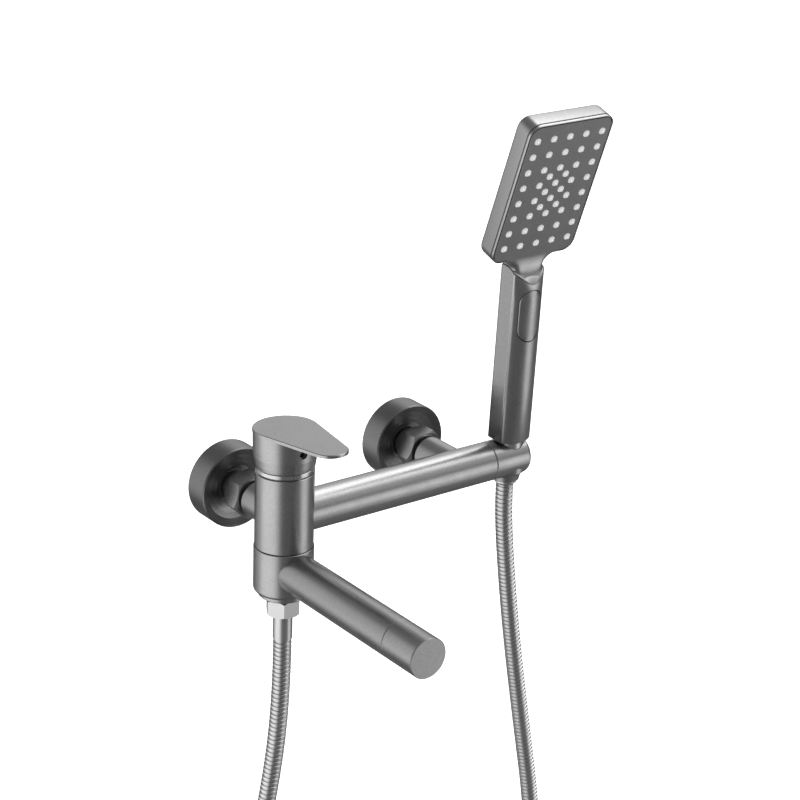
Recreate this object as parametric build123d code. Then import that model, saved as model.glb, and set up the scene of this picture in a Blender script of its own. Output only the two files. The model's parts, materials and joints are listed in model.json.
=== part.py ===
from build123d import *
import math
import os

# Wall mounted bath mixer with a swivel spout, a shower holder on the end of its bar, a hose and a
# hand shower. Millimetres. The wall is the plane y = 0 and the room is towards -Y; +Z is up and
# +X runs along the bar. The origin lies on the wall, midway between the two water inlets.

# ---- inlets and wall fixings ----
INLET_SPACING = 150.0
STUD_R = 10.48
STUD_LENGTH = 15.0
UNION_R = 11.6
UNION_THREAD_R = 13.2
UNION_THREAD_FROM = 20.0
UNION_FRONT = 33.0
WATER_R = 8.0
WEB_BACK = -9.0
WEB_FRONT = -6.0
WEB_HOLE_R = 2.0
WEB_HOLE_RING_R = 5.2
WEB_HOLES = 6
FLANGE_R = 29.7
FLANGE_DEPTH = 19.2
FLANGE_WALL = 1.6
FLANGE_DISH_R = 15.5
FLANGE_DISH_DEPTH = 4.6
NUT_ACROSS_FLATS = 29.4
NUT_BACK = 24.0
NUT_FRONT = 39.0
NUT_LIP = 2.4
GASKET_THICK = 1.5
TAIL_COLLAR_R = 12.3
TAIL_NECK_R = 9.6
ARM_R = 13.0
ARM_START = 41.4

# ---- body column, bar and their common distance from the wall ----
REACH = 75.5
EDGE = 0.4
COLUMN_X = -INLET_SPACING / 2
COLUMN_R = 20.4
COLUMN_TOP = 34.1
COLUMN_BOTTOM = -20.7
BAR_R = 14.4
BAR_WALL = 2.0
BAR_END = 100.9

# ---- cartridge ----
CARTRIDGE_R = 12.5
CARTRIDGE_NECK_R = 10.4
CARTRIDGE_BORE_R = 8.5
CARTRIDGE_BOTTOM = 4.0
CARTRIDGE_SHOULDER = 25.0
CARTRIDGE_TOP = 33.0
CARTRIDGE_NUT_R = 16.5
CARTRIDGE_NUT_TOP = 33.4
DISC_THICK = 3.6
DISC_PORT_R = 1.9
RUNNING = 0.06
PIVOT_Z = 30.0
STEM_WIDTH = 7.0
STEM_DEPTH = 6.0
STEM_TOP = 59.0
STEM_BOTTOM = 22.4
PIN_R = 1.5
CARRIER_TOP = 33.6

# ---- lever ----
DOME_R = 19.2
DOME_WALL = 1.2
DOME_OPENING_R = 11.0
SKIRT_BOTTOM = 38.2
SKIRT_BOTTOM_R = 20.7
SKIRT_TOP_R = 22.0
SKIRT_BORE_R = 18.9
SKIRT_CEILING = 49.8
RING_BOTTOM = 34.9
RING_R = 20.4
RELIEF_FROM = 1.0
RELIEF_SLOPE = 20.2
RELIEF_WIDTH = 60.0
RELIEF_DEPTH = 16.0
LEVER_TOP = 65.8
LEVER_RISE = 2.3
LEVER_BACK_R = 22.5
LEVER_TIP_R = 12.4
LEVER_TIP_AT = 51.8
LEVER_THICK = 2.3
LEVER_OVERLAP = 1.1
SCREW_Z = 52.8
SCREW_R = 2.4

# ---- swivel spout ----
CORE_R = 15.0
COLLAR_R = 20.9
COLLAR_TOP = -21.0
COLLAR_BOTTOM = -55.0
COLLAR_FILLET = 3.2
SLEEVE_R = 16.6
SPOUT_Z = -36.8
SPOUT_R = 14.3
SPOUT_WALL = 1.6
SPOUT_SEAM = 132.8
SPOUT_TIP = 164.0
SPOUT_CAP_THICK = 2.6
AERATOR_AT = 148.5
AERATOR_R = 8.6
AERATOR_LOW = -48.3
NIPPLE_FLANGE_R = 17.4
NIPPLE_FLANGE_BOTTOM = -58.4

# ---- hose and its fittings ----
HOSE_R = 6.5
THREAD_R = 9.9
HOSE_NUT_TOP = -61.0
HOSE_NUT_BOTTOM = -73.0
HOSE_NUT_FLATS = 22.0
FERRULE_R = 6.9
HOSE_TOP_LEFT = -92.0
CONE_TOP = 14.0
CONE_BOTTOM = -21.0
CONE_TOP_R = 10.6
CONE_BOTTOM_R = 8.2

# ---- shower holder and hand shower, along the socket axis ----
SOCKET_X = 121.0
SOCKET_TILT = 2.5
HOLDER_END = 133.6
HOLDER_GAP = 0.3
HOLDER_FILLET = 3.6
SOCKET_CLEARANCE = 0.3
SOCKET_SLOT = 14.2
BOSS_BOTTOM = -17.4
BOSS_R = 9.9
BOSS_TOP_R = 13.4
PIVOT_PIN_R = 6.0
PIVOT_PIN_END = 108.3
HANDLE_BOTTOM = 15.4
HANDLE_WIDTH = 27.0
HANDLE_FLAT = 15.0
HANDLE_CROWN = 13.3
HANDLE_WALL = 2.4
HANDLE_TOP_R = 18.0
HANDLE_TOP_Y = 3.8
HANDLE_TOP_Z = 131.4
BUTTON_Z = 114.0
BUTTON_LENGTH = 38.6
BUTTON_WIDTH = 19.0
NECK_LOW_FRONT = 136.0
NECK_LOW_SLOPE = 20.0
NECK_TOP_WIDTH = 29.0
NECK_FLARE_R = 12.0
PIPE_Y = 1.2
PIPE_R = 6.4
PIPE_BORE_R = 5.0
PIPE_TOP = 143.0
HEAD_WIDTH = 74.0
HEAD_LENGTH = 113.0
HEAD_CORNER = 9.0
HEAD_THICK = 16.5
HEAD_TILT = 16.95
HEAD_Y = -24.3
HEAD_Z = 210.7
FACE_THICK = 2.2
HEAD_WALL = 1.8
NOZZLE_ACROSS = 14.25
NOZZLE_DOWN = 12.6
NOZZLE_R = 2.1
NOZZLE_HOLE_R = 2.5

# Route of the hose in the plane of the column axis: x and z, from the mixer to the hand shower.
HOSE_XZ = [
    (-75.0, -92.0), (-75.0, -132.0), (-81.0, -195.0), (-99.0, -280.0), (-117.0, -370.0),
    (-108.0, -452.0), (-66.0, -510.0), (-2.0, -538.0), (66.0, -531.0), (125.0, -495.0),
    (162.0, -435.0), (171.0, -365.0), (163.0, -298.0), (150.5, -235.0), (137.2, -165.0),
    (127.5, -105.0), (121.0, -42.0), (121.0, -21.0),
]

parts = {}


def keep(name, shape):
    """Names a finished piece, so that the end of the script can write it out."""
    parts[name] = shape


def post(x, y, low, high, radius):
    """Upright round bar between two heights."""
    return Pos(x, y, (low + high) / 2) * Cylinder(radius, high - low)


def rod_y(x, z, back, front, radius):
    """Round bar square to the wall, between two distances from the wall."""
    return Pos(x, -(back + front) / 2, z) * Rot(90, 0, 0) * Cylinder(radius, front - back)


def rod_x(y, z, left, right, radius):
    """Round bar along the wall."""
    return Pos((left + right) / 2, y, z) * Rot(0, 90, 0) * Cylinder(radius, right - left)


def edged(bar, along, both=True):
    """Breaks the rim at the far end of a bar along an axis, and at its near end too if both is set."""
    groups = bar.edges().group_by(along)
    rims = groups[-1] + groups[0] if both else groups[-1]
    return chamfer(rims, EDGE)


def turned(points, x=0.0, y=0.0):
    """Solid of revolution about an upright axis; points are radius and height."""
    profile = make_face(Polyline(*[(r, 0, z) for r, z in points], close=True))
    return Pos(x, y, 0) * revolve(profile, Axis.Z)


def turned_y(points, x=0.0):
    """Solid of revolution about an axis square to the wall; points are radius and distance."""
    profile = make_face(Polyline(*[(r, -d, 0) for r, d in points], close=True))
    return Pos(x, 0, 0) * revolve(profile, Axis.Y)


def hexagon_prism(flats, low, high, turn=0.0):
    """Upright hexagon bar with its corners turned down by a cone at both ends."""
    corner_r = flats / math.sqrt(3)
    bar = Pos(0, 0, low) * extrude(RegularPolygon(corner_r, 6, rotation=turn), high - low)
    chamfer_h = (corner_r - flats / 2) * 0.7
    cone_r = flats / 2 + 0.3
    lathe = turned([
        (0, low), (cone_r, low), (corner_r + 0.1, low + chamfer_h),
        (corner_r + 0.1, high - chamfer_h), (cone_r, high), (0, high),
    ])
    return bar & lathe


def socket_place(shape):
    """Moves a piece from the socket's own axis to its tilted place on the bar."""
    return Pos(SOCKET_X, -REACH, 0) * Rot(SOCKET_TILT, 0, 0) * shape


# ---- wall fixings ----
def wall_union(x):
    """Straight union: a male stud with a drilled web in its bore, and a larger thread for the nut."""
    outside = turned_y([
        (0, -STUD_LENGTH), (STUD_R, -STUD_LENGTH), (STUD_R, 0), (UNION_R, 0),
        (UNION_R, UNION_THREAD_FROM), (UNION_THREAD_R, UNION_THREAD_FROM),
        (UNION_THREAD_R, UNION_FRONT), (0, UNION_FRONT),
    ], x)
    union = outside - rod_y(x, 0, -STUD_LENGTH - 1, WEB_BACK, WATER_R)
    union = union - rod_y(x, 0, WEB_FRONT, UNION_FRONT + 1, WATER_R)
    for index in range(WEB_HOLES):
        angle = 2 * math.pi / WEB_HOLES * index
        across, up = WEB_HOLE_RING_R * math.cos(angle), WEB_HOLE_RING_R * math.sin(angle)
        union = union - rod_y(x + across, up, WEB_BACK - 1, WEB_FRONT + 1, WEB_HOLE_R)
    return union


def flange(x):
    """Hollow cover disc with a dished front, open towards the wall."""
    floor = FLANGE_DEPTH - FLANGE_DISH_DEPTH
    return turned_y([
        (FLANGE_R, 0), (FLANGE_R, FLANGE_DEPTH - 0.9), (FLANGE_R - 0.9, FLANGE_DEPTH),
        (FLANGE_R - 1.9, FLANGE_DEPTH - 0.6), (FLANGE_R - 6.0, FLANGE_DEPTH - 2.7),
        (FLANGE_R - 10.0, floor + 0.8), (FLANGE_DISH_R, floor), (UNION_THREAD_R + 0.2, floor),
        (UNION_THREAD_R + 0.2, floor - 1.6), (UNION_R, floor - 1.6), (UNION_R, floor - 3.6),
        (FLANGE_DISH_R, floor - 3.6), (FLANGE_DISH_R + 1.0, floor - FLANGE_WALL),
        (FLANGE_R - 10.0, floor - FLANGE_WALL + 0.6), (FLANGE_R - FLANGE_WALL, FLANGE_DEPTH - 3.6),
        (FLANGE_R - FLANGE_WALL, 0),
    ], x)


def union_nut(x, turn):
    """Loose hexagon nut that pulls the arm's tail on to the gasket."""
    nut = hexagon_prism(NUT_ACROSS_FLATS, NUT_BACK, NUT_FRONT, turn)
    nut = nut - post(0, 0, NUT_BACK - 1, NUT_FRONT - NUT_LIP, UNION_THREAD_R)
    nut = nut - post(0, 0, NUT_BACK, NUT_FRONT + 1, TAIL_NECK_R + 0.2)
    return Pos(x, 0, 0) * Rot(90, 0, 0) * nut


def union_gasket(x):
    ring = rod_y(x, 0, UNION_FRONT, UNION_FRONT + GASKET_THICK, TAIL_COLLAR_R - 0.3)
    return ring - rod_y(x, 0, UNION_FRONT - 1, UNION_FRONT + 3, WATER_R)


def inlet_strainer(x):
    """Small cup strainer in the union's mouth."""
    cup = rod_y(x, 0, UNION_FRONT - 7.0, UNION_FRONT, WATER_R)
    return cup - rod_y(x, 0, UNION_FRONT - 6.0, UNION_FRONT + 1, WATER_R - 0.9)


def inlet_arm(x, joined_to):
    """Arm from the nut to the body, with the collar that the nut catches."""
    collar_back = UNION_FRONT + GASKET_THICK
    collar_front = NUT_FRONT - NUT_LIP
    arm = turned_y([
        (0, collar_back), (TAIL_COLLAR_R, collar_back), (TAIL_COLLAR_R, collar_front),
        (TAIL_NECK_R, collar_front), (TAIL_NECK_R, ARM_START - 0.4), (ARM_R - 0.8, ARM_START - 0.4),
        (ARM_R, ARM_START + 0.4), (ARM_R, REACH), (0, REACH),
    ], x)
    return arm - joined_to - rod_y(x, 0, 0, REACH + 1, WATER_R)


# ---- column and bar ----
def column():
    """Turned brass column: cartridge pocket above, swivel spigot socket below."""
    body = edged(post(0, 0, COLUMN_BOTTOM, COLUMN_TOP, COLUMN_R), Axis.Z)
    body = body - post(0, 0, CARTRIDGE_BOTTOM, COLUMN_TOP, CARTRIDGE_R + RUNNING)
    body = body - post(0, 0, CARTRIDGE_SHOULDER, COLUMN_TOP + 1, CARTRIDGE_NUT_R)
    body = body - post(0, 0, COLUMN_BOTTOM - 1, -8.0, 13.0)
    body = body - post(-6.0, 3.0, -9.0, CARTRIDGE_BOTTOM + 1, 2.6)
    body = body - Pos(0, COLUMN_R / 2 + 2, 0) * Rot(90, 0, 0) * Cylinder(4.0, COLUMN_R)
    body = body - Pos(COLUMN_R / 2 + 2, 0, 0) * Rot(0, 90, 0) * Cylinder(4.0, COLUMN_R)
    return Pos(COLUMN_X, -REACH, 0) * body


def cross_bar():
    """Bar from the column to the holder, a tube closed by its end plug."""
    bar = edged(rod_x(-REACH, 0, COLUMN_X, BAR_END, BAR_R), Axis.X, both=False)
    bar = bar - rod_x(-REACH, 0, COLUMN_X, BAR_END + 1, BAR_R - BAR_WALL)
    bar = bar - post(COLUMN_X, -REACH, -BAR_R - 1, BAR_R + 1, COLUMN_R)
    return bar - rod_y(-COLUMN_X, 0, 0, REACH, WATER_R)


def bar_plug():
    """Plug brazed in the bar's end, with the pin that the holder turns on."""
    plug = rod_x(-REACH, 0, BAR_END - 8.0, BAR_END, BAR_R - BAR_WALL)
    pin = rod_x(-REACH, 0, BAR_END - 1.0, PIVOT_PIN_END, PIVOT_PIN_R)
    groove = rod_x(-REACH, 0, BAR_END + 4.0, BAR_END + 5.6, PIVOT_PIN_R + 1)
    groove = groove - rod_x(-REACH, 0, BAR_END + 3.0, BAR_END + 6.6, PIVOT_PIN_R - 1.2)
    return plug + (pin - groove)


def pivot_ring():
    """Friction ring in the pin's groove, which holds the holder at its angle."""
    ring = rod_x(-REACH, 0, BAR_END + 4.2, BAR_END + 5.4, PIVOT_PIN_R - 0.2)
    return ring - rod_x(-REACH, 0, BAR_END + 3.0, BAR_END + 6.6, PIVOT_PIN_R - 1.2)


# ---- cartridge ----
def on_column(shape):
    return Pos(COLUMN_X, -REACH, 0) * shape


def cartridge_housing():
    outside = turned([
        (0, CARTRIDGE_BOTTOM), (CARTRIDGE_R, CARTRIDGE_BOTTOM), (CARTRIDGE_R, CARTRIDGE_SHOULDER),
        (CARTRIDGE_NECK_R, CARTRIDGE_SHOULDER), (CARTRIDGE_NECK_R, CARTRIDGE_TOP),
        (0, CARTRIDGE_TOP),
    ])
    housing = outside - post(0, 0, CARTRIDGE_BOTTOM + 2.0, CARTRIDGE_TOP + 1, CARTRIDGE_BORE_R)
    for angle in (90, 210, 330):
        port = Rot(0, 0, angle) * post(4.6, 0, CARTRIDGE_BOTTOM - 1, CARTRIDGE_BOTTOM + 3, DISC_PORT_R)
        housing = housing - port
    return on_column(housing)


def cartridge_nut():
    """Threaded ring that clamps the cartridge in its pocket."""
    ring = post(0, 0, CARTRIDGE_SHOULDER, CARTRIDGE_NUT_TOP, CARTRIDGE_NUT_R)
    ring = ring - post(0, 0, 0, CARTRIDGE_TOP + 2, CARTRIDGE_NECK_R)
    for angle in (45, 135, 225, 315):
        ring = ring - Rot(0, 0, angle) * Pos(14.0, 0, CARTRIDGE_NUT_TOP) * Box(2.6, 3.0, 3.0)
    return on_column(ring)


def ceramic_disc(low, turn):
    disc = post(0, 0, low, low + DISC_THICK, CARTRIDGE_BORE_R - RUNNING)
    for angle in (90, 210, 330):
        port = Rot(0, 0, angle + turn) * post(4.6, 0, low - 1, low + DISC_THICK + 1, DISC_PORT_R)
        disc = disc - port
    return on_column(disc)


def stem_carrier():
    """Turning fork of the cartridge, slotted so that the stem can tilt."""
    low = CARTRIDGE_BOTTOM + 2.0 + 2 * DISC_THICK + 0.1
    carrier = post(0, 0, low, CARRIER_TOP, CARTRIDGE_BORE_R - RUNNING)
    carrier = carrier - Pos(0, 0, 30) * Box(STEM_WIDTH + 0.4, 12.0, 24.0)
    carrier = carrier - Pos(0, 0, PIVOT_Z) * Rot(0, 90, 0) * Cylinder(PIN_R, 2 * CARTRIDGE_R)
    return on_column(carrier)


def stem_pin():
    return on_column(Pos(0, 0, PIVOT_Z) * Rot(0, 90, 0) * Cylinder(PIN_R, 15.0))


def stem():
    bar = Pos(0, 0, (STEM_TOP + STEM_BOTTOM) / 2) * Box(STEM_WIDTH, STEM_DEPTH, STEM_TOP - STEM_BOTTOM)
    bar = bar - Pos(0, 0, PIVOT_Z) * Rot(0, 90, 0) * Cylinder(PIN_R + RUNNING, 20.0)
    return on_column(bar)


def trim_dome():
    """Polished dome between column and lever, part of a sphere about the lever's pivot."""
    outer = Pos(0, 0, PIVOT_Z) * Sphere(DOME_R)
    inner = Pos(0, 0, PIVOT_Z) * Sphere(DOME_R - DOME_WALL)
    shell = outer - inner
    shell = shell & post(0, 0, COLUMN_TOP, PIVOT_Z + DOME_R, DOME_R)
    shell = shell - post(0, 0, COLUMN_TOP, PIVOT_Z + DOME_R + 1, DOME_OPENING_R)
    return on_column(shell)


# ---- lever ----
def lever_plate():
    """Flat teardrop top of the lever, rising towards its tip."""
    half = math.asin((LEVER_BACK_R - LEVER_TIP_R) / LEVER_TIP_AT)
    cosine, sine = math.cos(half), math.sin(half)
    back_side = (LEVER_BACK_R * cosine, -LEVER_BACK_R * sine)
    tip_side = (LEVER_TIP_R * cosine, -LEVER_TIP_AT - LEVER_TIP_R * sine)
    outline = [
        Line(back_side, tip_side),
        ThreePointArc(tip_side, (0, -LEVER_TIP_AT - LEVER_TIP_R), (-tip_side[0], tip_side[1])),
        Line((-tip_side[0], tip_side[1]), (-back_side[0], back_side[1])),
        ThreePointArc((-back_side[0], back_side[1]), (0, LEVER_BACK_R), back_side),
    ]
    plate = extrude(make_face(outline), LEVER_THICK)
    plate = chamfer(plate.edges().group_by(Axis.Z)[-1], EDGE)
    return Pos(0, 0, LEVER_TOP) * Rot(-LEVER_RISE, 0, 0) * Pos(0, 0, -LEVER_THICK) * plate


def lift_relief():
    """Wedge cut away at the back, where the lever dips when it is lifted."""
    wedge = Pos(0, RELIEF_WIDTH / 2, -RELIEF_DEPTH / 2) * Box(RELIEF_WIDTH, RELIEF_WIDTH, RELIEF_DEPTH)
    return Pos(0, RELIEF_FROM, RING_BOTTOM) * Rot(RELIEF_SLOPE, 0, 0) * wedge


def lever_handle():
    """Lever in one casting: round skirt over the dome, and the flat plate on top."""
    plate_low = LEVER_TOP - LEVER_THICK
    skirt = turned([
        (0, SKIRT_BOTTOM), (SKIRT_BOTTOM_R - 0.5, SKIRT_BOTTOM), (SKIRT_BOTTOM_R, SKIRT_BOTTOM + 0.6),
        (SKIRT_BOTTOM_R + 0.4, 41.0), (SKIRT_TOP_R - 0.2, 46.5), (SKIRT_TOP_R, 51.0),
        (SKIRT_TOP_R + 0.2, plate_low + LEVER_OVERLAP), (0, plate_low + LEVER_OVERLAP),
    ])
    cavity = post(0, 0, SKIRT_BOTTOM - 1, SKIRT_CEILING, SKIRT_BORE_R)
    socket = Pos(0, 0, (SKIRT_CEILING + STEM_TOP) / 2) * Box(STEM_WIDTH, STEM_DEPTH, STEM_TOP - SKIRT_CEILING)
    screw_hole = rod_y(0, SCREW_Z, STEM_DEPTH / 2, 30.0, SCREW_R)
    mouth = rod_y(0, SCREW_Z, SKIRT_TOP_R - 2.4, SKIRT_TOP_R + 2, SCREW_R + 0.7)
    lever = skirt - cavity - lift_relief() + lever_plate()
    return on_column(lever - socket - screw_hole - mouth)


def lever_ring():
    """Polished ring under the lever's skirt, close above the column."""
    ring = edged(post(0, 0, RING_BOTTOM, SKIRT_BOTTOM, RING_R), Axis.Z)
    return on_column(ring - post(0, 0, RING_BOTTOM - 1, SKIRT_BOTTOM + 1, SKIRT_BORE_R) - lift_relief())


def lever_screw():
    """Grub screw that clamps the lever to the stem, with its key socket."""
    screw = rod_y(0, SCREW_Z, STEM_DEPTH / 2, STEM_DEPTH / 2 + 9.0, SCREW_R)
    key = Pos(0, 0, STEM_DEPTH / 2 + 6.6) * extrude(RegularPolygon(1.4, 6), 3.0)
    return on_column(screw - Pos(0, 0, SCREW_Z) * Rot(90, 0, 0) * key)


# ---- swivel spout ----
def swivel_core():
    """Fixed core that the spout's collar turns about; water leaves it to the spout or the hose."""
    outside = turned([
        (0, -8.0), (13.0, -8.0), (13.0, COLUMN_BOTTOM), (CORE_R, COLUMN_BOTTOM),
        (CORE_R, -25.2), (12.8, -25.2), (12.8, -27.6), (CORE_R, -27.6), (CORE_R, -46.0),
        (12.8, -46.0), (12.8, -48.4), (CORE_R, -48.4), (CORE_R, COLLAR_BOTTOM - 0.2),
        (0, COLLAR_BOTTOM - 0.2),
    ])
    core = outside - post(0, 0, -52.0, -7.0, 6.0)
    core = core - Pos(0, -10.0, SPOUT_Z) * Rot(90, 0, 0) * Cylinder(4.5, 20.0)
    core = core - post(0, 0, COLLAR_BOTTOM - 1, -50.0, THREAD_R)
    return on_column(core)


def core_seal(groove_low):
    """Rubber O-ring sunk in a groove of the core."""
    return on_column(Pos(0, 0, groove_low + 1.2) * Torus(13.8, 0.95))


def glide_ring():
    """Plastic washer between the column and the collar."""
    return on_column(post(0, 0, COLLAR_TOP - 1.6, COLUMN_BOTTOM, 18.6) - post(0, 0, -30, -20, CORE_R))


def spout_collar():
    """Collar that carries the spout and turns on the core."""
    collar = fillet(
        post(0, 0, COLLAR_BOTTOM, COLLAR_TOP, COLLAR_R).edges().group_by(Axis.Z)[0], COLLAR_FILLET)
    collar = edged(collar, Axis.Z, both=False)
    collar = collar - post(0, 0, COLLAR_BOTTOM - 1, COLLAR_TOP + 1, CORE_R + RUNNING)
    collar = collar - post(0, 0, COLLAR_BOTTOM + 3.0, COLLAR_TOP - 3.4, SLEEVE_R)
    collar = collar - post(0, 0, COLLAR_TOP - 1.9, COLLAR_TOP + 1, 18.9)
    collar = collar - Pos(0, -15.0, SPOUT_Z) * Rot(90, 0, 0) * Cylinder(6.0, 14.0)
    return on_column(collar)


def diverter_sleeve():
    """Sleeve keyed in the collar; its window opens the spout's port as the spout is turned."""
    sleeve = post(0, 0, COLLAR_BOTTOM + 3.0, COLLAR_TOP - 3.4, SLEEVE_R)
    sleeve = sleeve - post(0, 0, COLLAR_BOTTOM, COLLAR_TOP, CORE_R + RUNNING)
    sleeve = sleeve - Pos(0, -15.0, SPOUT_Z) * Rot(90, 0, 0) * Cylinder(5.0, 14.0)
    return on_column(sleeve)


def spout_tube():
    tube = rod_y(COLUMN_X, SPOUT_Z, REACH, REACH + SPOUT_SEAM, SPOUT_R)
    tube = chamfer(tube.edges().group_by(Axis.Y)[0], EDGE)
    tube = tube - rod_y(COLUMN_X, SPOUT_Z, REACH, REACH + SPOUT_SEAM + 1, SPOUT_R - SPOUT_WALL)
    return tube - post(COLUMN_X, -REACH, COLLAR_BOTTOM - 1, COLLAR_TOP + 1, COLLAR_R)


def spout_joiner():
    """Thin sleeve inside the seam, which the tube and the tip are pushed on to."""
    wall_r = SPOUT_R - SPOUT_WALL
    sleeve = rod_y(COLUMN_X, SPOUT_Z, REACH + SPOUT_SEAM - 8, REACH + SPOUT_SEAM + 4, wall_r)
    return sleeve - rod_y(COLUMN_X, SPOUT_Z, REACH + 100, REACH + SPOUT_SEAM + 6, wall_r - 1.2)


def spout_tip():
    """Last length of the spout, with the aerator's opening underneath."""
    front = REACH + SPOUT_TIP - SPOUT_CAP_THICK
    tip = rod_y(COLUMN_X, SPOUT_Z, REACH + SPOUT_SEAM + 0.15, front, SPOUT_R)
    tip = chamfer(tip.edges().group_by(Axis.Y)[-1], EDGE)
    tip = tip - rod_y(COLUMN_X, SPOUT_Z, REACH + SPOUT_SEAM - 1, front + 1, SPOUT_R - SPOUT_WALL)
    return tip - post(COLUMN_X, -REACH - AERATOR_AT, SPOUT_Z - 20, SPOUT_Z, AERATOR_R)


def spout_cap():
    """Flat end disc, with a spigot inside the tip."""
    front = REACH + SPOUT_TIP
    disc = rod_y(COLUMN_X, SPOUT_Z, front - SPOUT_CAP_THICK, front, SPOUT_R)
    disc = chamfer(disc.edges().group_by(Axis.Y)[0], 0.5)
    spigot = rod_y(COLUMN_X, SPOUT_Z, front - SPOUT_CAP_THICK - 2.6, front - 0.6, SPOUT_R - SPOUT_WALL)
    return disc + spigot


def aerator_housing():
    """Threaded ring of the aerator, sunk in the tip's round opening."""
    top = AERATOR_LOW + 6.0
    ring = post(COLUMN_X, -REACH - AERATOR_AT, AERATOR_LOW, top, AERATOR_R)
    return ring - post(COLUMN_X, -REACH - AERATOR_AT, AERATOR_LOW - 1, top + 1, AERATOR_R - 1.3)


def aerator_insert():
    """Insert with a ring of jets round a middle one."""
    low = AERATOR_LOW + 0.5
    insert = post(0, 0, low, low + 5.0, AERATOR_R - 1.3)
    for ring_r, count in ((2.6, 6), (5.2, 12)):
        for index in range(count):
            jet = Rot(0, 0, 360 / count * index) * post(ring_r, 0, low - 1, low + 6, 0.7)
            insert = insert - jet
    return Pos(COLUMN_X, -REACH - AERATOR_AT, 0) * insert


def hose_outlet():
    """Male outlet under the core; its flange keeps the collar up."""
    outlet = turned([
        (0, -50.0), (THREAD_R, -50.0), (THREAD_R, COLLAR_BOTTOM - 0.2),
        (NIPPLE_FLANGE_R, COLLAR_BOTTOM - 0.2), (NIPPLE_FLANGE_R, NIPPLE_FLANGE_BOTTOM + 0.8),
        (NIPPLE_FLANGE_R - 0.8, NIPPLE_FLANGE_BOTTOM), (THREAD_R, NIPPLE_FLANGE_BOTTOM),
        (THREAD_R, HOSE_NUT_BOTTOM + 5.0), (0, HOSE_NUT_BOTTOM + 5.0),
    ])
    return on_column(outlet - post(0, 0, -80, -40, 5.0))


# ---- hose ----
def hose_nut():
    nut = hexagon_prism(HOSE_NUT_FLATS, HOSE_NUT_BOTTOM, HOSE_NUT_TOP)
    nut = nut - post(0, 0, HOSE_NUT_BOTTOM + 2.6, HOSE_NUT_TOP + 1, THREAD_R)
    return on_column(nut - post(0, 0, HOSE_NUT_BOTTOM - 1, HOSE_NUT_TOP, 5.4))


def hose_washer():
    low = HOSE_NUT_BOTTOM + 2.6
    return on_column(post(0, 0, low, low + 2.4, THREAD_R - 0.3) - post(0, 0, low - 1, low + 3, 4.0))


def hose_ferrule():
    """Crimped sleeve between the nut and the hose."""
    sleeve = turned([
        (0, HOSE_TOP_LEFT), (FERRULE_R, HOSE_TOP_LEFT), (FERRULE_R, HOSE_NUT_BOTTOM - 1.0),
        (FERRULE_R - 0.5, HOSE_NUT_BOTTOM), (0, HOSE_NUT_BOTTOM),
    ])
    return on_column(sleeve - post(0, 0, HOSE_TOP_LEFT - 1, HOSE_NUT_BOTTOM + 1, 4.0))


def hose_route():
    """Corners of the route; its last run lies along the tilted socket axis."""
    tilt = math.radians(SOCKET_TILT)
    end_y = -REACH + abs(HOSE_XZ[-1][1]) * math.sin(tilt)
    before_y = -REACH + abs(HOSE_XZ[-2][1]) * math.sin(tilt)
    route = [Vector(x, -REACH, z) for x, z in HOSE_XZ]
    route[-1] = Vector(HOSE_XZ[-1][0], end_y, HOSE_XZ[-1][1] * math.cos(tilt))
    route[-2] = Vector(HOSE_XZ[-2][0], before_y, HOSE_XZ[-2][1] * math.cos(tilt))
    return route


def hose_tube():
    """Free length of the hose: straight runs joined by arcs as large as the runs allow."""
    route = hose_route()
    radii = []
    for before, corner, after in zip(route, route[1:], route[2:]):
        turn = (corner - before).get_angle(after - corner)
        shorter = min((corner - before).length, (after - corner).length)
        radii.append(0.45 * shorter / math.tan(math.radians(turn) / 2))
    path = FilletPolyline(*route, radius=radii)
    print("hose radii", [round(r) for r in radii])
    start = Plane(origin=route[0], z_dir=route[1] - route[0])
    tube = sweep(start * Circle(HOSE_R), path=path)
    section = math.pi * HOSE_R ** 2
    print("hose length", round(path.length, 1), "volume ratio", round(tube.volume / (section * path.length), 4))
    return tube


def cone_nut():
    """Conical nut on the hose's upper end, which sits in the holder's socket."""
    nut = turned([
        (0, CONE_BOTTOM), (HOSE_R + 0.4, CONE_BOTTOM), (CONE_BOTTOM_R, CONE_BOTTOM + 1.6),
        (CONE_TOP_R, CONE_TOP - 4.0), (CONE_TOP_R, CONE_TOP), (0, CONE_TOP),
    ])
    nut = nut - post(0, 0, 1.0, CONE_TOP + 1, 9.2)
    return socket_place(nut - post(0, 0, CONE_BOTTOM - 1, 2.0, 5.0))


def cone_washer():
    return socket_place(post(0, 0, 1.0, 3.4, 8.9) - post(0, 0, 0, 4, 4.0))


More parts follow.
